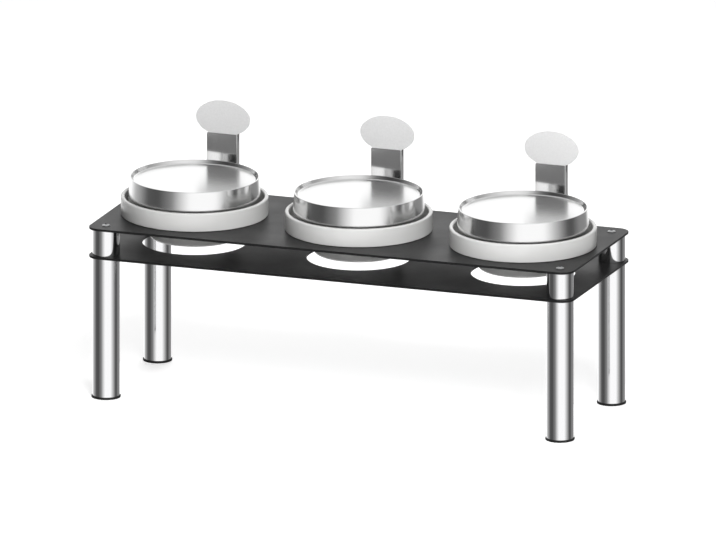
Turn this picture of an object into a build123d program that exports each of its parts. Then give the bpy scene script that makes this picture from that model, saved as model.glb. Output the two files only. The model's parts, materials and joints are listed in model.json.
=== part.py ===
from build123d import *
import os

# Buffet cold display: two boards on four legs, with a row of round cold stations and their signs.
# Millimetres. Origin at the centre of the footprint on the table, +X along the row, +Y to the back, +Z up.

# Stations along the row
station_names = ["left", "middle", "right"]
dish_dia = 258
dish_spacing = 47            # clear gap between neighbouring dishes
end_margin = 16              # board beyond the outer dishes

# Boards
board_thick = 4
board_gap = 47               # clear height between the boards
board_corner = 24            # radius in plan
board_arris = 0.5            # bevel on the boards' outer edges
lower_hole_dia = 183

# Legs
leg_dia = 48.3
leg_wall = 1.5
leg_length = 250
leg_inset = 28.5             # leg axis from both board edges

# Feet
foot_rim = 1.6               # foot beyond the leg
foot_thick = 4
foot_spigot = 14
foot_round = 1.2

# Tie rods and what they clamp
rod_dia = 8
rod_clear = 0.3              # round the rod, in boards, plugs and feet
rod_end_gap = 1.5            # rod end above the table, and below the cap's roof
nut_flats = 13
nut_height = 6.5
nut_recess = 0.5             # nut above the table
nut_clear = 0.3
plug_length = 10
plug_fit = 0.15              # plugs and spigots in the tubes
thread_clear = 0.1
sleeve_dia = 11
sleeve_length = 14
cap_dia = 14
cap_height = 3
cap_edge = 0.8               # straight edge below the dome
cap_roof = 1.5               # metal over the rod, below the socket
socket_flats = 5
socket_depth = 2

# Dishes
dish_height = 33             # rim above the top board
dish_wall = 7
dish_floor = 5
dish_round = 3               # both edges of the rim
dish_foot_round = 1.2
dish_corner = 2.5            # inside corner of the ledge
cup_dia = 176                # at the top board
cup_taper = 10               # radius lost down to the cup's floor
cup_depth = 41.5             # below the top of the board
cup_wall = 4
cup_clear = 2                # cup in the board's hole
cup_round = 6
cup_lip = 3                  # rounding where the ledge turns down into the cup
foot_ring_width = 12         # standing ring under the cup
foot_ring_depth = 1.5

# Rubber rings under the dishes
gasket_thick = 1.8
gasket_width = 10
gasket_groove = 1.5          # sunk into the dish
gasket_fit = 0.2

# Trays
tray_gap = 5                 # dish wall to the foot of the tray's skirt
tray_height = 67             # rim above the top board
tray_recess = 6              # rim above the tray's floor
tray_sheet = 1.2
tray_taper = 3.6             # radius lost from the skirt's foot to the rim
tray_lift = 2                # skirt above the dish's ledge
hem_height = 4               # skirt's foot, folded inwards on itself
hem_round = 1
rim_width = 2.4
rim_round = 0.9
recess_taper = 4             # radius lost from the rim down to the floor
recess_round = 3

# Cold packs
pack_clear = 8               # pack's head inside the tray's skirt
pack_round = 5
stem_clear = 3               # pack's stem inside the cup
stem_round = 8
plug_dia = 24
plug_thick = 6
plug_sink = 0.5              # filler plug below the pack's top
plug_gap = 0.2

# Sign posts
post_gap = 9.5               # dish to the post's front
post_margin = 7.5            # post's back to the board's edge
post_width = 56
post_thick = 14
post_height = 108.5
post_bevel = 0.6
post_round = 1.5
slot_depth = 12
slot_clear = 0.2             # each side of the sign

# Screws that hold the posts
screw_dia = 5
screw_head_dia = 10
screw_head_height = 2.7
screw_length = 22
screw_spacing = 34
screw_clear = 0.2

# Oval signs
sign_width = 100
sign_height = 64
sign_thick = 3
sign_sink = 5.5              # oval's lowest point below the post's top
sign_bevel = 0.4
tab_width = 36

# Plan sizes
dish_r = dish_dia / 2
station_pitch = dish_dia + dish_spacing
station_x = [station_pitch * (i - (len(station_names) - 1) / 2) for i in range(len(station_names))]
board_length = 2 * (station_x[-1] + dish_r + end_margin)
board_width = 2 * (dish_r + post_gap + post_thick + post_margin)
post_front = dish_r + post_gap
post_back = post_front + post_thick
leg_x = board_length / 2 - leg_inset
leg_y = board_width / 2 - leg_inset
corners = {
    "front_left": (-leg_x, -leg_y),
    "front_right": (leg_x, -leg_y),
    "back_left": (-leg_x, leg_y),
    "back_right": (leg_x, leg_y),
}

# Heights
leg_bottom = foot_thick
lower_bottom = leg_bottom + leg_length
lower_top = lower_bottom + board_thick
top_bottom = lower_top + board_gap
top_face = top_bottom + board_thick
flange_z = top_face + gasket_thick - gasket_groove
ledge_z = flange_z + dish_floor
rim_z = top_face + dish_height
cup_bottom = top_face - cup_depth
cup_floor = cup_bottom + cup_wall
tray_rim = top_face + tray_height
tray_floor = tray_rim - tray_recess
tray_under = tray_floor - tray_sheet
skirt_z = ledge_z + tray_lift
post_top = top_face + post_height
slot_floor = post_top - slot_depth

# Radii
leg_r = leg_dia / 2
tube_bore_r = leg_r - leg_wall
plug_r = tube_bore_r - plug_fit
foot_r = leg_r + foot_rim
rod_r = rod_dia / 2
rod_hole_r = rod_r + rod_clear
sleeve_r = sleeve_dia / 2
sleeve_hole_r = sleeve_r + rod_clear
cup_r = cup_dia / 2
cup_foot_r = cup_r - cup_taper
top_hole_dia = cup_dia + 2 * cup_clear
skirt_r = dish_r - dish_wall - tray_gap
rim_r = skirt_r - tray_taper
pack_r = rim_r - tray_sheet - pack_clear
gasket_mid_r = (top_hole_dia / 2 + dish_r) / 2


def turned(*outline):
    # A closed outline of (radius, height, rounding) corners, turned about Z
    points = [(r, z) for r, z, rounding in outline]
    roundings = [rounding for r, z, rounding in outline]
    profile = make_face(FilletPolyline(*points, radius=roundings, close=True))
    return revolve(Plane.XZ * profile, Axis.Z)


def ring(outer_r, inner_r, bottom, top):
    return turned((inner_r, bottom, 0), (outer_r, bottom, 0), (outer_r, top, 0), (inner_r, top, 0))


def rod(radius, bottom, top):
    return turned((0, bottom, 0), (radius, bottom, 0), (radius, top, 0), (0, top, 0))


def screw_places():
    return [(-screw_spacing / 2, (post_front + post_back) / 2), (screw_spacing / 2, (post_front + post_back) / 2)]


def board(bottom):
    plate = extrude(RectangleRounded(board_length, board_width, board_corner), board_thick)
    rims = plate.faces().filter_by(Axis.Z).edges()
    return Pos(0, 0, bottom) * chamfer(rims, board_arris)


def top_board():
    plate = board(top_bottom)
    for x in station_x:
        plate -= Pos(x, 0, 0) * rod(top_hole_dia / 2, top_bottom, top_face)
        for dx, y in screw_places():
            plate -= Pos(x + dx, y, 0) * post_screw(screw_clear)
    for x, y in corners.values():
        plate -= Pos(x, y, 0) * rod(sleeve_hole_r, top_bottom, top_face)
    return plate


def lower_board():
    plate = board(lower_bottom)
    for x in station_x:
        plate -= Pos(x, 0, 0) * rod(lower_hole_dia / 2, lower_bottom, lower_top)
    for x, y in corners.values():
        plate -= Pos(x, y, 0) * rod(rod_hole_r, lower_bottom, lower_top)
    return plate


def foot():
    pocket_r = nut_flats / 3 ** 0.5 + nut_clear
    pocket_top = nut_recess + nut_height
    spigot_top = foot_thick + foot_spigot
    return turned(
        (pocket_r, 0, 0),
        (foot_r, 0, foot_round),
        (foot_r, foot_thick, foot_round),
        (plug_r, foot_thick, 0),
        (plug_r, spigot_top, foot_round),
        (rod_hole_r, spigot_top, 0),
        (rod_hole_r, pocket_top, 0),
        (pocket_r, pocket_top, 0),
    )


def foot_nut():
    hexagon = RegularPolygon(nut_flats / 2, 6, major_radius=False)
    nut = Pos(0, 0, nut_recess) * extrude(hexagon, nut_height)
    return nut - rod(rod_r + thread_clear, nut_recess, nut_recess + nut_height)


def tube_plugs():
    leg_plug = ring(plug_r, rod_hole_r, lower_bottom - plug_length, lower_bottom)
    spacer_foot_plug = ring(plug_r, rod_hole_r, lower_top, lower_top + plug_length)
    spacer_head_plug = ring(plug_r, sleeve_hole_r, top_bottom - plug_length, top_bottom)
    return [leg_plug, spacer_foot_plug, spacer_head_plug]


def cap_nut():
    bore_r = rod_r + thread_clear
    bore_top = top_face - cap_roof
    dome_top = top_face + cap_height
    edge_top = top_face + cap_edge
    sleeve_bottom = top_face - sleeve_length
    dome = TangentArc((0, dome_top), (cap_dia / 2, edge_top), tangent=(1, 0))
    body = Polyline(
        (cap_dia / 2, edge_top),
        (cap_dia / 2, top_face),
        (sleeve_r, top_face),
        (sleeve_r, sleeve_bottom),
        (bore_r, sleeve_bottom),
        (bore_r, bore_top),
        (0, bore_top),
        (0, dome_top),
    )
    nut = revolve(Plane.XZ * make_face([dome, body]), Axis.Z)
    hexagon = RegularPolygon(socket_flats / 2, 6, major_radius=False)
    return nut - Pos(0, 0, dome_top - socket_depth) * extrude(hexagon, socket_depth)


def dish():
    groove_top = flange_z + gasket_groove
    groove_in = gasket_mid_r - gasket_width / 2
    groove_out = gasket_mid_r + gasket_width / 2
    ring_in = cup_foot_r - foot_ring_width
    return turned(
        (0, cup_bottom + foot_ring_depth, 0),
        (ring_in, cup_bottom + foot_ring_depth, 0),
        (ring_in, cup_bottom, 0),
        (cup_foot_r, cup_bottom, cup_round),
        (cup_r, flange_z, 0),
        (groove_in, flange_z, 0),
        (groove_in, groove_top, 0),
        (groove_out, groove_top, 0),
        (groove_out, flange_z, 0),
        (dish_r, flange_z, dish_foot_round),
        (dish_r, rim_z, dish_round),
        (dish_r - dish_wall, rim_z, dish_round),
        (dish_r - dish_wall, ledge_z, dish_corner),
        (cup_r - cup_wall, ledge_z, cup_lip),
        (cup_foot_r - cup_wall, cup_floor, cup_round),
        (0, cup_floor, 0),
    )


def dish_gasket():
    half = gasket_width / 2 - gasket_fit
    return ring(gasket_mid_r + half, gasket_mid_r - half, top_face, top_face + gasket_thick)


def cold_pack():
    recess_r = plug_dia / 2 + plug_gap
    recess_floor = tray_under - plug_sink - plug_thick
    stem_foot = cup_floor + stem_clear
    return turned(
        (0, stem_foot, 0),
        (cup_foot_r - cup_wall - stem_clear, stem_foot, stem_round),
        (cup_r - cup_wall - stem_clear - cup_lip, ledge_z, 0),
        (pack_r, ledge_z, pack_round),
        (pack_r, tray_under, pack_round),
        (recess_r, tray_under, 0),
        (recess_r, recess_floor, 0),
        (0, recess_floor, 0),
    )


def pack_plug():
    plug_top = tray_under - plug_sink
    return rod(plug_dia / 2, plug_top - plug_thick, plug_top)


def tray():
    skirt_slope = tray_taper / (tray_rim - skirt_z)
    under_r = rim_r + skirt_slope * (tray_rim - tray_under) - tray_sheet
    inner_rim_r = rim_r - rim_width
    hem_top = skirt_z + hem_height
    hem_top_r = skirt_r - skirt_slope * hem_height - tray_sheet
    return turned(
        (0, tray_floor, 0),
        (inner_rim_r - recess_taper, tray_floor, recess_round),
        (inner_rim_r, tray_rim, rim_round),
        (rim_r, tray_rim, rim_round),
        (skirt_r, skirt_z, hem_round),
        (skirt_r - 2 * tray_sheet, skirt_z, hem_round),
        (hem_top_r - tray_sheet, hem_top, 0),
        (hem_top_r, hem_top, 0),
        (under_r, tray_under, 0),
        (0, tray_under, 0),
    )


def upright(y):
    # A drawing plane that stands across the row at the given depth and faces the front
    return Plane(origin=(0, y, 0), x_dir=(1, 0, 0), z_dir=(0, -1, 0))


def post_screw(clear=0.0):
    head_r = screw_head_dia / 2 + clear
    shank_r = screw_dia / 2 + clear
    tip = top_bottom + screw_length + clear
    neck = top_bottom + screw_head_height
    return turned(
        (0, top_bottom, 0),
        (head_r, top_bottom, 0),
        (shank_r, neck, 0),
        (shank_r, tip, 0),
        (0, tip, 0),
    )


def sign_post():
    half = post_width / 2
    outline = FilletPolyline(
        (-half, top_face),
        (half, top_face),
        (half, post_top),
        (-half, post_top),
        radius=[0, 0, post_round, post_round],
        close=True,
    )
    post = extrude(upright(post_back) * make_face(outline), post_thick)
    faces = post.faces().filter_by(Axis.Y)
    post = chamfer(faces.edges().filter_by(lambda edge: edge.center().Z > top_face), post_bevel)
    slot_width = sign_thick + 2 * slot_clear
    slot_mid = (post_front + post_back) / 2
    slot = Pos(0, slot_mid, slot_floor) * Box(
        post_width, slot_width, slot_depth, align=(Align.CENTER, Align.CENTER, Align.MIN)
    )
    post -= slot
    for x, y in screw_places():
        post -= Pos(x, y, 0) * post_screw(thread_clear)
    return post


def sign():
    oval_mid = post_top - sign_sink + sign_height / 2
    oval = Pos(0, oval_mid) * Ellipse(sign_width / 2, sign_height / 2)
    tab_height = oval_mid - slot_floor
    tab = Pos(0, slot_floor) * Rectangle(tab_width, tab_height, align=(Align.CENTER, Align.MIN))
    back = (post_front + post_back + sign_thick) / 2
    plate = extrude(upright(back) * (oval + tab), sign_thick)
    return chamfer(plate.faces().filter_by(Axis.Y).edges(), sign_bevel)


def save(name, *solids):
    shape = solids[0] if len(solids) == 1 else Compound(children=list(solids))
    export_step(shape, f"parts/{name}.step")


os.makedirs("parts", exist_ok=True)

save("top_board", top_board())
save("lower_board", lower_board())

for corner, (x, y) in corners.items():
    place = Pos(x, y, 0)
    save(f"{corner}_leg", place * ring(leg_r, tube_bore_r, leg_bottom, lower_bottom))
    save(f"{corner}_spacer", place * ring(leg_r, tube_bore_r, lower_top, top_bottom))
    save(f"{corner}_foot", place * foot())
    save(f"{corner}_tie_rod", place * rod(rod_r, rod_end_gap, top_face - cap_roof - rod_end_gap))
    save(f"{corner}_tube_plugs", *[place * plug for plug in tube_plugs()])

save("cap_nuts", *[Pos(x, y, 0) * cap_nut() for x, y in corners.values()])
save("foot_nuts", *[Pos(x, y, 0) * foot_nut() for x, y in corners.values()])

for name, x in zip(station_names, station_x):
    place = Pos(x, 0, 0)
    save(f"{name}_dish", place * dish())
    save(f"{name}_dish_gasket", place * dish_gasket())
    save(f"{name}_cold_pack", place * cold_pack())
    save(f"{name}_pack_plug", place * pack_plug())
    save(f"{name}_tray", place * tray())
    save(f"{name}_sign_post", place * sign_post())
    save(f"{name}_post_screws", *[Pos(x + dx, y, 0) * post_screw() for dx, y in screw_places()])
    save(f"{name}_sign", place * sign())
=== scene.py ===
import json
import math

import bpy
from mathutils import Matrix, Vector


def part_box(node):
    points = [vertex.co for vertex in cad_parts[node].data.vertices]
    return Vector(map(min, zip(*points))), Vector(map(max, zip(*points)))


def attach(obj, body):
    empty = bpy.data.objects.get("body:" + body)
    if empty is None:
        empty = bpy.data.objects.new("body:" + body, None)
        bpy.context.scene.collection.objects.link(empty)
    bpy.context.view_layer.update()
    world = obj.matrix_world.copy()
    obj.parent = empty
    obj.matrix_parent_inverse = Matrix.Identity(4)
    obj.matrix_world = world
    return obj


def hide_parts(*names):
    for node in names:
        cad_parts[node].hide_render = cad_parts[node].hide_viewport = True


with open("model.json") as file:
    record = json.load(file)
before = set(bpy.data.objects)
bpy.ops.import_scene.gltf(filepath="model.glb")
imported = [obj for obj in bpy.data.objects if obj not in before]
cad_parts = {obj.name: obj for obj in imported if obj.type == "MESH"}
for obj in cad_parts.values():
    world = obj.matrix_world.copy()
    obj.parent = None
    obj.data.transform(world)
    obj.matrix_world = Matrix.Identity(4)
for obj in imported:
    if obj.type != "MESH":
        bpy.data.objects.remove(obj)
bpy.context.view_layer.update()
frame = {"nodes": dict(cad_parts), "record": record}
nodes = frame["nodes"]
print("frame loaded:", len(nodes), "nodes")

mm = 0.001
stationNames = ["left", "middle", "right"]
cornerNames = ["front_left", "front_right", "back_left", "back_right"]


def linearColour(hexText):  # sRGB hex to the linear colour that shaders use
    channels = [int(hexText[i:i + 2], 16) / 255 for i in (1, 3, 5)]
    linear = [c / 12.92 if c <= 0.04045 else ((c + 0.055) / 1.055) ** 2.4 for c in channels]
    return (*linear, 1.0)


def addNode(tree, kind, inputs=None, **settings):  # inputs: socket name or number, and a value or an output
    node = tree.nodes.new(kind)
    for name, value in settings.items():
        setattr(node, name, value)
    for name, value in (inputs or {}).items():
        if isinstance(value, bpy.types.NodeSocket):
            tree.links.new(value, node.inputs[name])
        else:
            node.inputs[name].default_value = value
    return node


def startMaterial(name, colour, metallic, roughness, **sockets):
    material = bpy.data.materials.new(name)
    material.use_nodes = True
    tree = material.node_tree
    tree.nodes.clear()
    shader = addNode(tree, "ShaderNodeBsdfPrincipled", {
        "Base Color": linearColour(colour), "Metallic": metallic, "Roughness": roughness, **sockets,
    })
    addNode(tree, "ShaderNodeOutputMaterial", {"Surface": shader.outputs["BSDF"]})
    return material, tree, shader


# Materials: pattern sizes and depths are in mm, rough gives the lowest and highest roughness

coat = {
    "colour": "#1e1e1f", "dark": "#191919", "light": "#232324", "specular": 0.21,
    "rough": (0.37, 0.45), "wipeMark": 70.0, "peel": 1.2, "peelDepth": 0.25,
}


def makePowderCoat():  # aluminium plate, powder coated satin black: a soft grey sheen over fine orange peel
    material, tree, shader = startMaterial(
        "satinBlackPowderCoat", coat["colour"], metallic=0.0, roughness=0.40,
        **{"Specular IOR Level": coat["specular"]},
    )
    place = addNode(tree, "ShaderNodeTexCoord").outputs["Object"]
    cloud = addNode(tree, "ShaderNodeTexNoise", {
        "Vector": place, "Scale": 1 / (coat["wipeMark"] * mm), "Detail": 3.0,
    })
    sheen = addNode(tree, "ShaderNodeMapRange", {
        "Value": cloud.outputs["Fac"], "From Min": 0.3, "From Max": 0.7,
        "To Min": coat["rough"][0], "To Max": coat["rough"][1],
    })
    grain = addNode(tree, "ShaderNodeTexNoise", {
        "Vector": place, "Scale": 1 / (coat["peel"] * mm), "Detail": 2.0,
    })
    tone = addNode(tree, "ShaderNodeMix", {
        "Factor": grain.outputs["Fac"], "A": linearColour(coat["dark"]), "B": linearColour(coat["light"]),
    }, data_type="RGBA")
    bump = addNode(tree, "ShaderNodeBump", {
        "Height": grain.outputs["Fac"], "Strength": 0.3, "Distance": coat["peelDepth"] * mm,
    })
    tree.links.new(tone.outputs["Result"], shader.inputs["Base Color"])
    tree.links.new(sheen.outputs["Result"], shader.inputs["Roughness"])
    tree.links.new(bump.outputs["Normal"], shader.inputs["Normal"])
    return material


drawn = {
    "colour": "#ececed", "rough": (0.08, 0.13),
    "lineGap": 0.8, "lineLength": 90.0, "lineDepth": 0.02,  # real lines are finer, drawn wider to show
}


def makePolishedTube():  # stainless tube, drawn and polished: a clear mirror with faint lines along the tube
    material, tree, shader = startMaterial(
        "polishedStainlessTube", drawn["colour"], metallic=1.0, roughness=0.10,
    )
    place = addNode(tree, "ShaderNodeUVMap", uv_map="turned").outputs["UV"]
    stretch = addNode(tree, "ShaderNodeMapping", {
        "Vector": place, "Scale": (1 / (drawn["lineGap"] * mm), 1 / (drawn["lineLength"] * mm), 1.0),
    })
    lines = addNode(tree, "ShaderNodeTexNoise", {
        "Vector": stretch.outputs["Vector"], "Scale": 1.0, "Detail": 2.0,
    })
    haze = addNode(tree, "ShaderNodeMapRange", {
        "Value": lines.outputs["Fac"], "From Min": 0.35, "From Max": 0.75,
        "To Min": drawn["rough"][0], "To Max": drawn["rough"][1],
    })
    bump = addNode(tree, "ShaderNodeBump", {
        "Height": lines.outputs["Fac"], "Strength": 0.03, "Distance": drawn["lineDepth"] * mm,
    })
    tree.links.new(haze.outputs["Result"], shader.inputs["Roughness"])
    tree.links.new(bump.outputs["Normal"], shader.inputs["Normal"])
    return material


spun = {
    "colour": "#ededed", "skirtRough": 0.18, "floorRough": 0.21, "ringHaze": 0.03,
    "ringGap": 0.9, "ringLength": 120.0, "ringDepth": 0.02,
}


def makeSpunSteel():  # stainless sheet, spun: fine rings about the axis, the floor duller than the skirt
    material, tree, shader = startMaterial(
        "spunStainlessSteel", spun["colour"], metallic=1.0, roughness=0.16,
    )
    place = addNode(tree, "ShaderNodeUVMap", uv_map="turned").outputs["UV"]
    stretch = addNode(tree, "ShaderNodeMapping", {
        "Vector": place, "Scale": (1 / (spun["ringLength"] * mm), 1 / (spun["ringGap"] * mm), 1.0),
    })
    rings = addNode(tree, "ShaderNodeTexNoise", {
        "Vector": stretch.outputs["Vector"], "Scale": 1.0, "Detail": 3.0,
    })
    normal = addNode(tree, "ShaderNodeNewGeometry").outputs["Normal"]
    facing = addNode(tree, "ShaderNodeSeparateXYZ", {"Vector": normal}).outputs["Z"]
    dull = addNode(tree, "ShaderNodeMapRange", {
        "Value": facing, "From Min": 0.5, "From Max": 0.95,
        "To Min": spun["skirtRough"], "To Max": spun["floorRough"],
    })
    haze = addNode(tree, "ShaderNodeMapRange", {
        "Value": rings.outputs["Fac"], "From Min": 0.3, "From Max": 0.7,
        "To Min": -spun["ringHaze"], "To Max": spun["ringHaze"],
    })
    rough = addNode(tree, "ShaderNodeMath", {
        0: dull.outputs["Result"], 1: haze.outputs["Result"],
    }, operation="ADD")
    bump = addNode(tree, "ShaderNodeBump", {
        "Height": rings.outputs["Fac"], "Strength": 0.04, "Distance": spun["ringDepth"] * mm,
    })
    tree.links.new(rough.outputs[0], shader.inputs["Roughness"])
    tree.links.new(bump.outputs["Normal"], shader.inputs["Normal"])
    return material


ground = {
    "colour": "#babbbc", "dark": "#b0b1b2", "light": "#c4c5c6", "rough": (0.25, 0.35),
    "lineGap": 0.7, "lineLength": 45.0, "lineDepth": 0.03,  # real lines are 0.2 mm apart, drawn wider to show
}


def makeSatinSteel():  # stainless bar, belt-ground: dull grey with upright grinding lines
    material, tree, shader = startMaterial(
        "satinStainlessSteel", ground["colour"], metallic=1.0, roughness=0.30,
    )
    place = addNode(tree, "ShaderNodeTexCoord").outputs["Object"]
    across, along = 1 / (ground["lineGap"] * mm), 1 / (ground["lineLength"] * mm)
    stretch = addNode(tree, "ShaderNodeMapping", {"Vector": place, "Scale": (across, across, along)})
    lines = addNode(tree, "ShaderNodeTexNoise", {
        "Vector": stretch.outputs["Vector"], "Scale": 1.0, "Detail": 3.0,
    })
    tone = addNode(tree, "ShaderNodeMix", {
        "Factor": lines.outputs["Fac"], "A": linearColour(ground["dark"]), "B": linearColour(ground["light"]),
    }, data_type="RGBA")
    haze = addNode(tree, "ShaderNodeMapRange", {
        "Value": lines.outputs["Fac"], "From Min": 0.3, "From Max": 0.7,
        "To Min": ground["rough"][0], "To Max": ground["rough"][1],
    })
    bump = addNode(tree, "ShaderNodeBump", {
        "Height": lines.outputs["Fac"], "Strength": 0.10, "Distance": ground["lineDepth"] * mm,
    })
    tree.links.new(tone.outputs["Result"], shader.inputs["Base Color"])
    tree.links.new(haze.outputs["Result"], shader.inputs["Roughness"])
    tree.links.new(bump.outputs["Normal"], shader.inputs["Normal"])
    return material


buffed = {
    "colour": "#f0f0f0", "dark": "#eaeaea", "light": "#f6f6f6", "rough": (0.13, 0.18),
    "lineGap": 0.7, "lineLength": 60.0, "lineDepth": 0.02,  # real lines are 0.2 mm apart, drawn wider to show
}


def makePolishedBar():  # stainless flat bar, ground and buffed: a soft mirror with faint upright lines
    material, tree, shader = startMaterial(
        "buffedStainlessBar", buffed["colour"], metallic=1.0, roughness=0.15,
    )
    place = addNode(tree, "ShaderNodeTexCoord").outputs["Object"]
    across, along = 1 / (buffed["lineGap"] * mm), 1 / (buffed["lineLength"] * mm)
    stretch = addNode(tree, "ShaderNodeMapping", {"Vector": place, "Scale": (across, across, along)})
    lines = addNode(tree, "ShaderNodeTexNoise", {
        "Vector": stretch.outputs["Vector"], "Scale": 1.0, "Detail": 3.0,
    })
    tone = addNode(tree, "ShaderNodeMix", {
        "Factor": lines.outputs["Fac"], "A": linearColour(buffed["dark"]), "B": linearColour(buffed["light"]),
    }, data_type="RGBA")
    haze = addNode(tree, "ShaderNodeMapRange", {
        "Value": lines.outputs["Fac"], "From Min": 0.3, "From Max": 0.7,
        "To Min": buffed["rough"][0], "To Max": buffed["rough"][1],
    })
    bump = addNode(tree, "ShaderNodeBump", {
        "Height": lines.outputs["Fac"], "Strength": 0.04, "Distance": buffed["lineDepth"] * mm,
    })
    tree.links.new(tone.outputs["Result"], shader.inputs["Base Color"])
    tree.links.new(haze.outputs["Result"], shader.inputs["Roughness"])
    tree.links.new(bump.outputs["Normal"], shader.inputs["Normal"])
    return material


melamine = {
    "colour": "#e8e8e6", "dark": "#e5e5e3", "light": "#ebebea", "rough": (0.22, 0.27), "refraction": 1.52,
    "flowMark": 45.0, "ripple": 4.0, "rippleDepth": 0.05,
}


def makeWhitePlastic():  # white moulded melamine: even and glossy, with a very slight ripple from the mould
    material, tree, shader = startMaterial(
        "whiteMouldedMelamine", melamine["colour"], metallic=0.0, roughness=0.24,
        **{"IOR": melamine["refraction"]},
    )
    place = addNode(tree, "ShaderNodeTexCoord").outputs["Object"]
    cloud = addNode(tree, "ShaderNodeTexNoise", {
        "Vector": place, "Scale": 1 / (melamine["flowMark"] * mm), "Detail": 2.0,
    })
    tone = addNode(tree, "ShaderNodeMix", {
        "Factor": cloud.outputs["Fac"],
        "A": linearColour(melamine["dark"]), "B": linearColour(melamine["light"]),
    }, data_type="RGBA")
    haze = addNode(tree, "ShaderNodeMapRange", {
        "Value": cloud.outputs["Fac"], "From Min": 0.2, "From Max": 0.8,
        "To Min": melamine["rough"][0], "To Max": melamine["rough"][1],
    })
    ripple = addNode(tree, "ShaderNodeTexNoise", {
        "Vector": place, "Scale": 1 / (melamine["ripple"] * mm), "Detail": 1.0,
    })
    bump = addNode(tree, "ShaderNodeBump", {
        "Height": ripple.outputs["Fac"], "Strength": 0.05, "Distance": melamine["rippleDepth"] * mm,
    })
    tree.links.new(tone.outputs["Result"], shader.inputs["Base Color"])
    tree.links.new(haze.outputs["Result"], shader.inputs["Roughness"])
    tree.links.new(bump.outputs["Normal"], shader.inputs["Normal"])
    return material


acrylic = {
    "colour": "#f2f2f2", "dark": "#ededed", "light": "#ffffff", "rough": (0.55, 0.70), "refraction": 1.49,
    "speckle": 3.5, "frosting": 0.9, "frostDepth": 0.05,  # real frosting is about 0.1 mm, coarser to show
}


def makeFrostedAcrylic():  # white acrylic frosted on both faces: milky, dull, finely speckled
    material, tree, shader = startMaterial(
        "frostedAcrylic", acrylic["colour"], metallic=0.0, roughness=0.62,
        **{"IOR": acrylic["refraction"]},
    )
    place = addNode(tree, "ShaderNodeTexCoord").outputs["Object"]
    speckle = addNode(tree, "ShaderNodeTexNoise", {
        "Vector": place, "Scale": 1 / (acrylic["speckle"] * mm), "Detail": 3.0, "Roughness": 0.6,
    })
    tone = addNode(tree, "ShaderNodeMix", {
        "Factor": speckle.outputs["Fac"],
        "A": linearColour(acrylic["dark"]), "B": linearColour(acrylic["light"]),
    }, data_type="RGBA")
    grain = addNode(tree, "ShaderNodeTexNoise", {
        "Vector": place, "Scale": 1 / (acrylic["frosting"] * mm), "Detail": 3.0,
    })
    haze = addNode(tree, "ShaderNodeMapRange", {
        "Value": grain.outputs["Fac"], "From Min": 0.3, "From Max": 0.7,
        "To Min": acrylic["rough"][0], "To Max": acrylic["rough"][1],
    })
    bump = addNode(tree, "ShaderNodeBump", {
        "Height": grain.outputs["Fac"], "Strength": 0.10, "Distance": acrylic["frostDepth"] * mm,
    })
    tree.links.new(tone.outputs["Result"], shader.inputs["Base Color"])
    tree.links.new(haze.outputs["Result"], shader.inputs["Roughness"])
    tree.links.new(bump.outputs["Normal"], shader.inputs["Normal"])
    return material


rubber = {"colour": "#1d1d1d", "dark": "#171717", "light": "#262626", "grain": 0.8, "grainDepth": 0.1}


def makeBlackRubber():  # moulded EPDM: dull black with a fine even grain
    material, tree, shader = startMaterial(
        "mouldedBlackRubber", rubber["colour"], metallic=0.0, roughness=0.68,
    )
    place = addNode(tree, "ShaderNodeTexCoord").outputs["Object"]
    grain = addNode(tree, "ShaderNodeTexNoise", {
        "Vector": place, "Scale": 1 / (rubber["grain"] * mm), "Detail": 3.0,
    })
    tone = addNode(tree, "ShaderNodeMix", {
        "Factor": grain.outputs["Fac"], "A": linearColour(rubber["dark"]), "B": linearColour(rubber["light"]),
    }, data_type="RGBA")
    bump = addNode(tree, "ShaderNodeBump", {
        "Height": grain.outputs["Fac"], "Strength": 0.2, "Distance": rubber["grainDepth"] * mm,
    })
    tree.links.new(tone.outputs["Result"], shader.inputs["Base Color"])
    tree.links.new(bump.outputs["Normal"], shader.inputs["Normal"])
    return material


gelPack = {
    "colour": "#a9cbe2", "dark": "#97bfdb", "light": "#bcd9ea", "refraction": 1.51,
    "iceCloud": 22.0, "grain": 1.5, "grainDepth": 0.1,
}


def makePackPlastic():  # blow-moulded polyethylene full of gel: pale blue, waxy, a little cloudy with ice
    material, tree, shader = startMaterial(
        "blowMouldedPolyethylene", gelPack["colour"], metallic=0.0, roughness=0.42,
        **{"IOR": gelPack["refraction"]},
    )
    place = addNode(tree, "ShaderNodeTexCoord").outputs["Object"]
    cloud = addNode(tree, "ShaderNodeTexNoise", {
        "Vector": place, "Scale": 1 / (gelPack["iceCloud"] * mm), "Detail": 4.0,
    })
    tone = addNode(tree, "ShaderNodeMix", {
        "Factor": cloud.outputs["Fac"],
        "A": linearColour(gelPack["dark"]), "B": linearColour(gelPack["light"]),
    }, data_type="RGBA")
    grain = addNode(tree, "ShaderNodeTexNoise", {
        "Vector": place, "Scale": 1 / (gelPack["grain"] * mm), "Detail": 2.0,
    })
    bump = addNode(tree, "ShaderNodeBump", {
        "Height": grain.outputs["Fac"], "Strength": 0.12, "Distance": gelPack["grainDepth"] * mm,
    })
    tree.links.new(tone.outputs["Result"], shader.inputs["Base Color"])
    tree.links.new(bump.outputs["Normal"], shader.inputs["Normal"])
    return material


zinc = {"colour": "#b9bbbd", "rough": (0.28, 0.46), "spangle": 2.5}


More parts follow.
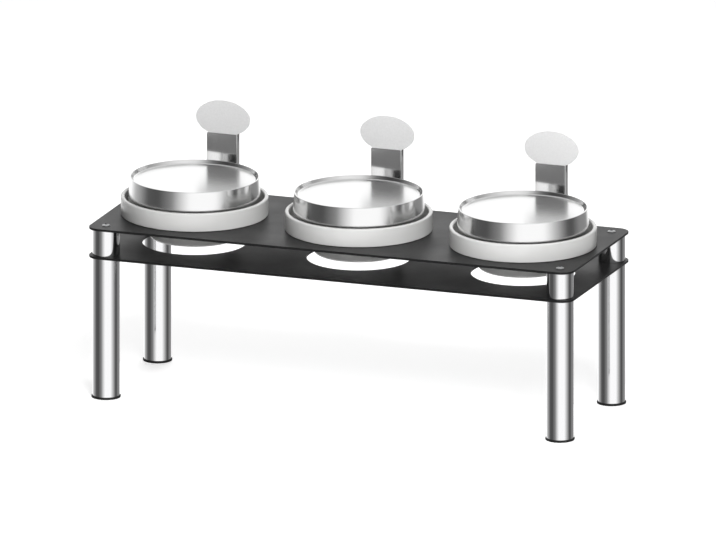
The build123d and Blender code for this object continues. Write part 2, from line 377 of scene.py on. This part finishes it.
def makeZincSteel():  # zinc-plated steel: light grey with faint spangles
    material, tree, shader = startMaterial(
        "zincPlatedSteel", zinc["colour"], metallic=1.0, roughness=0.36,
    )
    place = addNode(tree, "ShaderNodeTexCoord").outputs["Object"]
    spangle = addNode(tree, "ShaderNodeTexVoronoi", {"Vector": place, "Scale": 1 / (zinc["spangle"] * mm)})
    haze = addNode(tree, "ShaderNodeMapRange", {
        "Value": spangle.outputs["Distance"], "From Min": 0.0, "From Max": 0.8,
        "To Min": zinc["rough"][0], "To Max": zinc["rough"][1],
    })
    tree.links.new(haze.outputs["Result"], shader.inputs["Roughness"])
    return material


nylon = {"colour": "#8c8c8e", "dark": "#858587", "light": "#939395", "grain": 1.2, "grainDepth": 0.1}


def makeGreyNylon():  # moulded nylon: mid grey, slightly waxy
    material, tree, shader = startMaterial(
        "mouldedGreyNylon", nylon["colour"], metallic=0.0, roughness=0.48,
    )
    place = addNode(tree, "ShaderNodeTexCoord").outputs["Object"]
    grain = addNode(tree, "ShaderNodeTexNoise", {
        "Vector": place, "Scale": 1 / (nylon["grain"] * mm), "Detail": 2.0,
    })
    tone = addNode(tree, "ShaderNodeMix", {
        "Factor": grain.outputs["Fac"], "A": linearColour(nylon["dark"]), "B": linearColour(nylon["light"]),
    }, data_type="RGBA")
    bump = addNode(tree, "ShaderNodeBump", {
        "Height": grain.outputs["Fac"], "Strength": 0.1, "Distance": nylon["grainDepth"] * mm,
    })
    tree.links.new(tone.outputs["Result"], shader.inputs["Base Color"])
    tree.links.new(bump.outputs["Normal"], shader.inputs["Normal"])
    return material


powderCoat = makePowderCoat()
polishedTube = makePolishedTube()
spunSteel = makeSpunSteel()
satinSteel = makeSatinSteel()
polishedBar = makePolishedBar()
whitePlastic = makeWhitePlastic()
frostedAcrylic = makeFrostedAcrylic()
blackRubber = makeBlackRubber()
packPlastic = makePackPlastic()
zincSteel = makeZincSteel()
greyNylon = makeGreyNylon()

finishOfSlot = {
    "board_black": powderCoat,
    "leg_chrome": polishedTube,
    "foot_black": blackRubber,
    "rod_steel": zincSteel,
    "plug_grey": greyNylon,
    "cap_steel": satinSteel,
    "dish_white": whitePlastic,
    "gasket_black": blackRubber,
    "pack_blue": packPlastic,
    "tray_steel": spunSteel,
    "post_steel": polishedBar,
    "sign_frosted": frostedAcrylic,
}
slotOfNode = {row["node"]: row["material_slot"] for row in frame["record"]["subparts"]}
for name, node in nodes.items():
    node.data.materials.clear()
    node.data.materials.append(finishOfSlot[slotOfNode[name]])
print("materials set:", len(finishOfSlot), "finishes")


# Turned pieces: an outline of (radius, height, rounding) corners in mm, swept about the upright axis

turned = {
    "segments": 144, "arcSteps": 6, "sharpAngle": math.radians(32),
    "longRun": 1.0, "inset": 0.3, "sameSpot": 1e-6, "mergeGap": 0.002,  # mm
}


def roundedOutline(corners):
    closed = corners[0][0] > 0  # an outline that starts on the axis also ends there
    runs = []
    for i, (radius, height, rounding) in enumerate(corners):
        here = Vector((radius, height))
        atEnd = not closed and i in (0, len(corners) - 1)
        if atEnd or not rounding:
            runs.append([here])
            continue
        before = (Vector(corners[i - 1][:2]) - here).normalized()
        after = (Vector(corners[(i + 1) % len(corners)][:2]) - here).normalized()
        half = before.angle(after) / 2
        centre = here + (before + after).normalized() * (rounding / math.sin(half))
        start = here + before * (rounding / math.tan(half)) - centre
        end = here + after * (rounding / math.tan(half)) - centre
        turn = start.angle_signed(end)
        arc = []
        for step in range(turned["arcSteps"] + 1):
            angle = -turn * step / turned["arcSteps"]
            arc.append(centre + Vector((
                start.x * math.cos(angle) - start.y * math.sin(angle),
                start.x * math.sin(angle) + start.y * math.cos(angle),
            )))
        runs.append(arc)
    if closed:
        runs.append([runs[0][0]])
    points = list(runs[0])
    for run in runs[1:]:
        gap = run[0] - points[-1]
        if gap.length > turned["longRun"]:  # two extra points keep the straight part's shading straight
            inset = gap.normalized() * min(turned["inset"], gap.length / 4)
            points += [points[-1] + inset, run[0] - inset]
        if gap.length > turned["sameSpot"]:
            points.append(run[0])
        points += run[1:]
    return points


def makeTurningTree():  # sweeps the outline, shades it and sets it at a grid of places
    tree = bpy.data.node_groups.new("turnedAtPlaces", "GeometryNodeTree")
    sockets = tree.interface
    sockets.new_socket("Outline", in_out="INPUT", socket_type="NodeSocketGeometry")
    for name, kind, value in (
        ("Segments", "NodeSocketInt", turned["segments"]),
        ("Sharp Angle", "NodeSocketFloat", turned["sharpAngle"]),
        ("Columns", "NodeSocketInt", 1),
        ("Rows", "NodeSocketInt", 1),
        ("Column Spacing", "NodeSocketFloat", 0.0),
        ("Row Spacing", "NodeSocketFloat", 0.0),
        ("Middle", "NodeSocketVector", (0.0, 0.0, 0.0)),
    ):
        sockets.new_socket(name, in_out="INPUT", socket_type=kind).default_value = value
    sockets.new_socket("Finish", in_out="INPUT", socket_type="NodeSocketMaterial")
    sockets.new_socket("Piece", in_out="OUTPUT", socket_type="NodeSocketGeometry")
    given = addNode(tree, "NodeGroupInput").outputs

    # a grid whose every column holds the outline's points, one column for each step round the axis
    count = addNode(tree, "GeometryNodeAttributeDomainSize", {
        "Geometry": given["Outline"],
    }, component="MESH").outputs["Point Count"]
    index = addNode(tree, "GeometryNodeInputIndex").outputs["Index"]
    halfOn = addNode(tree, "ShaderNodeMath", {  # half a step on, safe to round down
        0: index, 1: 0.5,
    }, operation="ADD").outputs[0]
    along = addNode(tree, "ShaderNodeMath", {0: index, 1: count}, operation="MODULO").outputs[0]
    passed = addNode(tree, "ShaderNodeMath", {0: halfOn, 1: count}, operation="DIVIDE").outputs[0]
    around = addNode(tree, "ShaderNodeMath", {0: passed}, operation="FLOOR").outputs[0]
    share = addNode(tree, "ShaderNodeMath", {  # part of a full turn
        0: around, 1: given["Segments"],
    }, operation="DIVIDE").outputs[0]
    gridColumns = addNode(tree, "ShaderNodeMath", {0: given["Segments"], 1: 1.0}, operation="ADD").outputs[0]
    grid = addNode(tree, "GeometryNodeMeshGrid", {
        "Vertices X": gridColumns, "Vertices Y": count,
    }).outputs["Mesh"]
    position = addNode(tree, "GeometryNodeInputPosition").outputs[0]
    outlinePlace = addNode(tree, "GeometryNodeSampleIndex", {
        "Geometry": given["Outline"], "Value": position, "Index": along,
    }, data_type="FLOAT_VECTOR", domain="POINT").outputs["Value"]
    runLength = addNode(tree, "GeometryNodeInputNamedAttribute", {
        "Name": "runLength",
    }, data_type="FLOAT").outputs["Attribute"]
    outlineRun = addNode(tree, "GeometryNodeSampleIndex", {
        "Geometry": given["Outline"], "Value": runLength, "Index": along,
    }, data_type="FLOAT", domain="POINT").outputs["Value"]
    turnAngle = addNode(tree, "ShaderNodeMath", {0: share, 1: math.tau}, operation="MULTIPLY").outputs[0]
    swept = addNode(tree, "ShaderNodeVectorRotate", {
        "Vector": outlinePlace, "Angle": turnAngle,
    }, rotation_type="Z_AXIS").outputs["Vector"]

    # a map of the surface in metres: round the axis and along the outline
    reach = addNode(tree, "ShaderNodeVectorMath", {
        0: outlinePlace, 1: (1.0, 1.0, 0.0),
    }, operation="MULTIPLY").outputs[0]
    radius = addNode(tree, "ShaderNodeVectorMath", {0: reach}, operation="LENGTH").outputs["Value"]
    girth = addNode(tree, "ShaderNodeMath", {0: radius, 1: math.tau}, operation="MULTIPLY").outputs[0]
    girthRun = addNode(tree, "ShaderNodeMath", {0: share, 1: girth}, operation="MULTIPLY").outputs[0]
    flat = addNode(tree, "ShaderNodeCombineXYZ", {"X": girthRun, "Y": outlineRun}).outputs["Vector"]
    kept = addNode(tree, "GeometryNodeCaptureAttribute", {"Geometry": grid}, domain="POINT")
    kept.capture_items.new("VECTOR", "Flat")
    tree.links.new(flat, kept.inputs["Flat"])
    placed = addNode(tree, "GeometryNodeSetPosition", {
        "Geometry": kept.outputs["Geometry"], "Position": swept,
    })
    mapped = addNode(tree, "GeometryNodeStoreNamedAttribute", {
        "Geometry": placed.outputs["Geometry"], "Name": "turned", "Value": kept.outputs["Flat"],
    }, data_type="FLOAT2", domain="CORNER")
    closed = addNode(tree, "GeometryNodeMergeByDistance", {
        "Geometry": mapped.outputs["Geometry"], "Distance": turned["mergeGap"] * mm,
    })

    # smooth, but for the sharp edges
    smooth = addNode(tree, "GeometryNodeSetShadeSmooth", {
        "Geometry": closed.outputs["Geometry"], "Shade Smooth": True,
    }, domain="FACE")
    bend = addNode(tree, "GeometryNodeInputMeshEdgeAngle").outputs["Unsigned Angle"]
    soft = addNode(tree, "FunctionNodeCompare", {
        "A": bend, "B": given["Sharp Angle"],
    }, data_type="FLOAT", operation="LESS_THAN")
    shaded = addNode(tree, "GeometryNodeSetShadeSmooth", {
        "Geometry": smooth.outputs["Geometry"], "Shade Smooth": soft.outputs["Result"],
    }, domain="EDGE")

    # copies on a grid of columns and rows about the middle
    column = addNode(tree, "ShaderNodeMath", {0: index, 1: given["Columns"]}, operation="MODULO").outputs[0]
    filled = addNode(tree, "ShaderNodeMath", {0: halfOn, 1: given["Columns"]}, operation="DIVIDE").outputs[0]
    row = addNode(tree, "ShaderNodeMath", {0: filled}, operation="FLOOR").outputs[0]
    cell = addNode(tree, "ShaderNodeCombineXYZ", {"X": column, "Y": row}).outputs["Vector"]
    cells = addNode(tree, "ShaderNodeCombineXYZ", {
        "X": given["Columns"], "Y": given["Rows"], "Z": 1.0,
    }).outputs["Vector"]
    lastCell = addNode(tree, "ShaderNodeVectorMath", {
        0: cells, 1: (1.0, 1.0, 1.0),
    }, operation="SUBTRACT").outputs[0]
    midCell = addNode(tree, "ShaderNodeVectorMath", {0: lastCell, "Scale": 0.5}, operation="SCALE").outputs[0]
    offset = addNode(tree, "ShaderNodeVectorMath", {0: cell, 1: midCell}, operation="SUBTRACT").outputs[0]
    spacing = addNode(tree, "ShaderNodeCombineXYZ", {
        "X": given["Column Spacing"], "Y": given["Row Spacing"],
    }).outputs["Vector"]
    spot = addNode(tree, "ShaderNodeVectorMath", {
        0: offset, 1: spacing, 2: given["Middle"],
    }, operation="MULTIPLY_ADD").outputs[0]
    number = addNode(tree, "ShaderNodeMath", {
        0: given["Columns"], 1: given["Rows"],
    }, operation="MULTIPLY").outputs[0]
    places = addNode(tree, "GeometryNodePoints", {"Count": number, "Position": spot})
    repeated = addNode(tree, "GeometryNodeInstanceOnPoints", {
        "Points": places.outputs[0], "Instance": shaded.outputs["Geometry"],
    })
    real = addNode(tree, "GeometryNodeRealizeInstances", {"Geometry": repeated.outputs["Instances"]})
    finished = addNode(tree, "GeometryNodeSetMaterial", {
        "Geometry": real.outputs["Geometry"], "Material": given["Finish"],
    })
    addNode(tree, "NodeGroupOutput", {"Piece": finished.outputs["Geometry"]})
    return tree


turningTree = makeTurningTree()
turningSockets = {
    item.name: item.identifier for item in turningTree.interface.items_tree if item.in_out == "INPUT"
}


def turnPiece(name, corners, slotName, body, replaced, **values):
    points = roundedOutline(corners)
    mesh = bpy.data.meshes.new(name)
    edges = [(i, i + 1) for i in range(len(points) - 1)]
    mesh.from_pydata([(p.x * mm, 0.0, p.y * mm) for p in points], edges, [])
    lengths = [0.0]
    for a, b in zip(points, points[1:]):
        lengths.append(lengths[-1] + (b - a).length * mm)
    mesh.attributes.new("runLength", "FLOAT", "POINT").data.foreach_set("value", lengths)
    piece = bpy.data.objects.new(name, mesh)
    bpy.context.scene.collection.objects.link(piece)
    turning = piece.modifiers.new("turning", "NODES")
    turning.node_group = turningTree
    turning[turningSockets["Finish"]] = finishOfSlot[slotName]
    for key, value in values.items():
        turning[turningSockets[key]] = value
    evaluated = piece.evaluated_get(bpy.context.evaluated_depsgraph_get())
    made = bpy.data.meshes.new_from_object(evaluated)
    piece.modifiers.clear()
    piece.data = made
    piece.data.name = name
    bpy.data.meshes.remove(mesh)
    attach(piece, body)
    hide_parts(*replaced)


def heightsOf(node):
    low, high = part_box(node)
    return low.z / mm, high.z / mm


def reachOf(node):
    low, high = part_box(node)
    return (high.x - low.x) / 2 / mm


# Legs, spacers, feet: one stack at each corner of the boards

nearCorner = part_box("front_left_leg")[0]
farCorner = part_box("back_right_leg")[0]
cornerGrid = {
    "Columns": 2,
    "Rows": 2,
    "Column Spacing": farCorner.x - nearCorner.x,
    "Row Spacing": farCorner.y - nearCorner.y,
}
tube = {"radius": reachOf("front_left_leg"), "wall": 1.5, "edge": 0.3, "segments": 96}
foot = {"round": 1.2, "pocket": 7.8, "rodHole": 4.3, "pocketTop": 7.0, "spigotGap": 0.15, "segments": 64}


def tubeOutline(node):
    low, high = heightsOf(node)
    outer, inner, edge = tube["radius"], tube["radius"] - tube["wall"], tube["edge"]
    return [(inner, low, edge), (outer, low, edge), (outer, high, edge), (inner, high, edge)]


def footOutline(node):
    low, high = heightsOf(node)
    reach = reachOf(node)
    shoulder = heightsOf("front_left_leg")[0]
    spigot = tube["radius"] - tube["wall"] - foot["spigotGap"]
    return [
        (foot["pocket"], low, 0),
        (reach, low, foot["round"]),
        (reach, shoulder, foot["round"]),
        (spigot, shoulder, 0),
        (spigot, high, foot["round"]),
        (foot["rodHole"], high, 0),
        (foot["rodHole"], foot["pocketTop"], 0),
        (foot["pocket"], foot["pocketTop"], 0),
    ]


for name, part, slotName, outlineOf, segments in (
    ("legs", "leg", "leg_chrome", tubeOutline, tube["segments"]),
    ("spacers", "spacer", "leg_chrome", tubeOutline, tube["segments"]),
    ("feet", "foot", "foot_black", footOutline, foot["segments"]),
):
    replaced = [f"{corner}_{part}" for corner in cornerNames]
    turnPiece(name, outlineOf(replaced[0]), slotName, "stand", replaced, Segments=segments, **cornerGrid)
print("corner stacks made")


# Cold stations: dish, cold pack and tray

dish = {
    "wall": 7.0, "floor": 5.0, "rimRound": 3.0, "footRound": 1.2, "corner": 2.5,
    "cupTop": 88.0, "cupFoot": 78.0, "cupWall": 4.0, "cupRound": 6.0, "cupLip": 3.0,
    "ringWidth": 12.0, "ringDepth": 1.5, "grooveMiddle": 109.5, "grooveHalf": 5.0, "grooveDepth": 1.5,
}
dish["flange"] = heightsOf("middle_dish_gasket")[1] - dish["grooveDepth"]
dish["ledge"] = dish["flange"] + dish["floor"]
pack = {"gap": 3.0, "headRound": 5.0, "stemRound": 8.0, "recess": 12.2, "recessDepth": 6.5}
tray = {
    "gap": 5.0, "sheet": 1.2, "taper": 3.6, "recess": 6.0, "rimWidth": 2.4, "rimRound": 0.9,
    "recessTaper": 4.0, "recessRound": 3.0, "hemHeight": 4.0, "hemRound": 1.0,
}


def dishOutline(node):
    low, rim = heightsOf(node)
    reach = reachOf(node)
    flange, ledge = dish["flange"], dish["ledge"]
    grooveIn, grooveOut = dish["grooveMiddle"] - dish["grooveHalf"], dish["grooveMiddle"] + dish["grooveHalf"]
    ringIn = dish["cupFoot"] - dish["ringWidth"]
    cupFloor = low + dish["cupWall"]
    return [
        (0, low + dish["ringDepth"], 0),
        (ringIn, low + dish["ringDepth"], 0),
        (ringIn, low, 0),
        (dish["cupFoot"], low, dish["cupRound"]),
        (dish["cupTop"], flange, 0),
        (grooveIn, flange, 0),
        (grooveIn, flange + dish["grooveDepth"], 0),
        (grooveOut, flange + dish["grooveDepth"], 0),
        (grooveOut, flange, 0),
        (reach, flange, dish["footRound"]),
        (reach, rim, dish["rimRound"]),
        (reach - dish["wall"], rim, dish["rimRound"]),
        (reach - dish["wall"], ledge, dish["corner"]),
        (dish["cupTop"] - dish["cupWall"], ledge, dish["cupLip"]),
        (dish["cupFoot"] - dish["cupWall"], cupFloor, dish["cupRound"]),
        (0, cupFloor, 0),
    ]


def packOutline(node):
    low, top = heightsOf(node)
    reach = reachOf(node)
    return [
        (0, low, 0),
        (dish["cupFoot"] - dish["cupWall"] - pack["gap"], low, pack["stemRound"]),
        (dish["cupTop"] - dish["cupWall"] - pack["gap"] - dish["cupLip"], dish["ledge"], 0),
        (reach, dish["ledge"], pack["headRound"]),
        (reach, top, pack["headRound"]),
        (pack["recess"], top, 0),
        (pack["recess"], top - pack["recessDepth"], 0),
        (0, top - pack["recessDepth"], 0),
    ]


def trayOutline(node):
    low, rim = heightsOf(node)
    hem = reachOf("middle_dish") - dish["wall"] - tray["gap"]
    floor = rim - tray["recess"]
    under = floor - tray["sheet"]
    rimReach = hem - tray["taper"]
    slope = tray["taper"] / (rim - low)
    hemTop = low + tray["hemHeight"]
    hemReach = hem - slope * tray["hemHeight"] - tray["sheet"]
    return [
        (0, under, 0),
        (rimReach + slope * (rim - under) - tray["sheet"], under, 0),
        (hemReach, hemTop, 0),
        (hemReach - tray["sheet"], hemTop, 0),
        (hem - 2 * tray["sheet"], low, tray["hemRound"]),
        (hem, low, tray["hemRound"]),
        (rimReach, rim, tray["rimRound"]),
        (rimReach - tray["rimWidth"], rim, tray["rimRound"]),
        (rimReach - tray["rimWidth"] - tray["recessTaper"], floor, tray["recessRound"]),
        (0, floor, 0),
    ]


for station in stationNames:
    for part, slotName, body, outlineOf in (
        ("dish", "dish_white", "dish_body", dishOutline),
        ("cold_pack", "pack_blue", "pack_body", packOutline),
        ("tray", "tray_steel", "tray_body", trayOutline),
    ):
        node = f"{station}_{part}"
        low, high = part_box(node)
        middle = (low + high) / 2
        turnPiece(
            f"{station}_turned_{part}", outlineOf(node), slotName, f"{station}_{body}", [node],
            Middle=(middle.x, middle.y, 0.0),
        )
print("cold stations made")


# Stage: pale floor, soft light, camera at the photograph's angle

view = {
    "azimuth": math.radians(20), "elevation": math.radians(15),
    "aim": (-0.0015, 0.0, 0.234), "width": 1.2496, "distance": 4.0,
}
towardsCamera = Vector((math.sin(view["azimuth"]), -math.cos(view["azimuth"]), 0.0))
towardsRight = Vector((math.cos(view["azimuth"]), math.sin(view["azimuth"]), 0.0))

studio = {
    "ambient": 0.10,
    "room": 1.2,
    # heights, sides and depths: a direction's share upwards, rightwards and towards the camera, -1 to 1
    "upperWalls": 0.68, "upperWallsFrom": 0.26,
    "ceiling": "#eeeeee", "ceilingShare": 0.6, "ceilingHeights": (0.35, 0.7), "ceilingSides": (-0.3, 0.2),
    "sweepHeight": 0.16, "sweepDepths": (-0.72, -0.94),
    # what polished metal sees round the room: degrees from the camera's side, to the right positive
    "cards": [
        (-180, "#ffffff"), (-148, "#ffffff"), (-126, "#b0b0b0"), (-110, "#949494"), (-90, "#525252"),
        (-66, "#4a4a4a"), (-40, "#808080"), (-26, "#c6c6c6"), (-8, "#fafafa"), (37, "#fafafa"),
        (56, "#c0c0c0"), (72, "#8a8a8a"), (84, "#545454"), (96, "#4c4c4c"), (116, "#808080"),
        (146, "#868686"), (164, "#ffffff"), (180, "#ffffff"),
    ],
}
white = linearColour("#ffffff")


def makeStudioWorld():
    world = bpy.data.worlds.new("studio")
    world.use_nodes = True
    bpy.context.scene.world = world
    tree = world.node_tree
    tree.nodes.clear()
    direction = addNode(tree, "ShaderNodeTexCoord").outputs["Generated"]
    near = addNode(tree, "ShaderNodeVectorMath", {
        0: direction, 1: towardsCamera,
    }, operation="DOT_PRODUCT").outputs["Value"]
    side = addNode(tree, "ShaderNodeVectorMath", {
        0: direction, 1: towardsRight,
    }, operation="DOT_PRODUCT").outputs["Value"]
    height = addNode(tree, "ShaderNodeSeparateXYZ", {"Vector": direction}).outputs["Z"]

    # cards round the room, dimmer above
    angle = addNode(tree, "ShaderNodeMath", {0: side, 1: near}, operation="ARCTAN2").outputs[0]
    turn = addNode(tree, "ShaderNodeMapRange", {"Value": angle, "From Min": -math.pi, "From Max": math.pi})
    ramp = addNode(tree, "ShaderNodeValToRGB", {"Fac": turn.outputs["Result"]})
    stops = ramp.color_ramp.elements
    while len(stops) < len(studio["cards"]):
        stops.new(0.5)
    for stop, (degrees, colour) in zip(stops, studio["cards"]):
        stop.position = (degrees + 180) / 360
        stop.color = linearColour(colour)
    dimming = addNode(tree, "ShaderNodeMapRange", {
        "Value": height, "From Min": 0.0, "From Max": studio["upperWallsFrom"],
        "To Min": 1.0, "To Max": studio["upperWalls"],
    })
    walls = addNode(tree, "ShaderNodeVectorMath", {
        0: ramp.outputs["Color"], "Scale": dimming.outputs["Result"],
    }, operation="SCALE")

    # a light ceiling over the right-hand side
    overhead = addNode(tree, "ShaderNodeMapRange", {
        "Value": height, "From Min": studio["ceilingHeights"][0], "From Max": studio["ceilingHeights"][1],
        "To Min": 0.0, "To Max": studio["ceilingShare"],
    })
    rightward = addNode(tree, "ShaderNodeMapRange", {
        "Value": side, "From Min": studio["ceilingSides"][0], "From Max": studio["ceilingSides"][1],
    })
    roof = addNode(tree, "ShaderNodeMath", {
        0: overhead.outputs["Result"], 1: rightward.outputs["Result"],
    }, operation="MULTIPLY")
    roofed = addNode(tree, "ShaderNodeMix", {
        "Factor": roof.outputs[0], "A": walls.outputs["Vector"], "B": linearColour(studio["ceiling"]),
    }, data_type="RGBA")

    # a white sweep behind the piece
    above = addNode(tree, "ShaderNodeMapRange", {
        "Value": height, "From Min": 0.0, "From Max": studio["sweepHeight"],
    })
    behind = addNode(tree, "ShaderNodeMapRange", {
        "Value": near, "From Min": studio["sweepDepths"][0], "From Max": studio["sweepDepths"][1],
    })
    sweep = addNode(tree, "ShaderNodeMath", {
        0: above.outputs["Result"], 1: behind.outputs["Result"],
    }, operation="MULTIPLY")
    room = addNode(tree, "ShaderNodeMix", {
        "Factor": sweep.outputs[0], "A": roofed.outputs["Result"], "B": white,
    }, data_type="RGBA")

    # metal sees the room, other surfaces an even light, the camera plain white
    cards = addNode(tree, "ShaderNodeBackground", {
        "Color": room.outputs["Result"], "Strength": studio["room"],
    })
    ambient = addNode(tree, "ShaderNodeBackground", {"Color": white, "Strength": studio["ambient"]})
    backdrop = addNode(tree, "ShaderNodeBackground", {"Color": white, "Strength": 1.0})
    ray = addNode(tree, "ShaderNodeLightPath").outputs
    mirrored = addNode(tree, "ShaderNodeMath", {
        0: ray["Is Glossy Ray"], 1: ray["Is Transmission Ray"],
    }, operation="MAXIMUM")
    direct = addNode(tree, "ShaderNodeMath", {  # not light that metal throws on to other surfaces
        0: ray["Diffuse Depth"], 1: 0.5,
    }, operation="LESS_THAN")
    inMetal = addNode(tree, "ShaderNodeMath", {
        0: mirrored.outputs[0], 1: direct.outputs[0],
    }, operation="MULTIPLY")
    seen = addNode(tree, "ShaderNodeMixShader", {
        0: inMetal.outputs[0], 1: ambient.outputs[0], 2: cards.outputs[0],
    })
    shown = addNode(tree, "ShaderNodeMixShader", {
        0: ray["Is Camera Ray"], 1: seen.outputs[0], 2: backdrop.outputs[0],
    })
    addNode(tree, "ShaderNodeOutputWorld", {"Surface": shown.outputs[0]})


paper = {"reach": 6.0, "colour": "#f4f4f4", "glow": 0.58}  # glow: lifts the lit paper to white for the camera


def makeFloor():
    reach = paper["reach"]
    mesh = bpy.data.meshes.new("floor")
    corners = [(-reach, -reach, 0), (reach, -reach, 0), (reach, reach, 0), (-reach, reach, 0)]
    mesh.from_pydata(corners, [], [(0, 1, 2, 3)])
    floor = bpy.data.objects.new("floor", mesh)
    bpy.context.scene.collection.objects.link(floor)
    material = bpy.data.materials.new("paleFloor")
    material.use_nodes = True
    tree = material.node_tree
    tree.nodes.clear()
    matt = addNode(tree, "ShaderNodeBsdfDiffuse", {"Color": linearColour(paper["colour"])})
    ray = addNode(tree, "ShaderNodeLightPath").outputs
    share = addNode(tree, "ShaderNodeMath", {0: ray["Is Camera Ray"], 1: paper["glow"]}, operation="MULTIPLY")
    glow = addNode(tree, "ShaderNodeEmission", {"Color": white, "Strength": share.outputs[0]})
    both = addNode(tree, "ShaderNodeAddShader", {0: matt.outputs[0], 1: glow.outputs[0]})  # keeps the shadow
    addNode(tree, "ShaderNodeOutputMaterial", {"Surface": both.outputs[0]})
    mesh.materials.append(material)
    floor.visible_glossy = False  # the room's cards show in the metal instead


lampTarget = (0.0, 0.0, 0.3)
lamps = {  # metres and watts
    "keyLamp": {"place": (1.3, -2.4, 2.6), "size": 1.8, "power": 100.0},
    "fillLamp": {"place": (0.9, -2.8, 0.75), "size": 1.4, "power": 10.0},
    "backLamp": {"place": (-0.7, 1.9, 2.2), "size": 1.8, "power": 32.0},
}


def makeLamp(name, place, size, power):
    lamp = bpy.data.lights.new(name, "AREA")
    lamp.shape = "DISK"
    lamp.size = size
    lamp.energy = power
    holder = bpy.data.objects.new(name, lamp)
    holder.location = place
    holder.rotation_mode = "QUATERNION"
    holder.rotation_quaternion = (Vector(lampTarget) - Vector(place)).to_track_quat("-Z", "Y")
    holder.visible_glossy = False  # its light falls on the piece, its shape doesn't show in the metal
    bpy.context.scene.collection.objects.link(holder)


def makeCamera():
    camera = bpy.data.cameras.new("camera")
    camera.type = "ORTHO"
    camera.ortho_scale = view["width"]
    back = towardsCamera * math.cos(view["elevation"]) + Vector((0, 0, math.sin(view["elevation"])))
    holder = bpy.data.objects.new("camera", camera)
    holder.location = Vector(view["aim"]) + back * view["distance"]
    holder.rotation_mode = "QUATERNION"
    holder.rotation_quaternion = (-back).to_track_quat("-Z", "Y")
    bpy.context.scene.collection.objects.link(holder)
    bpy.context.scene.camera = holder


makeStudioWorld()
makeFloor()
for name, lamp in lamps.items():
    makeLamp(name, **lamp)
makeCamera()
bpy.context.scene.view_settings.view_transform = "Standard"
print("stage set")

print("pieces done")
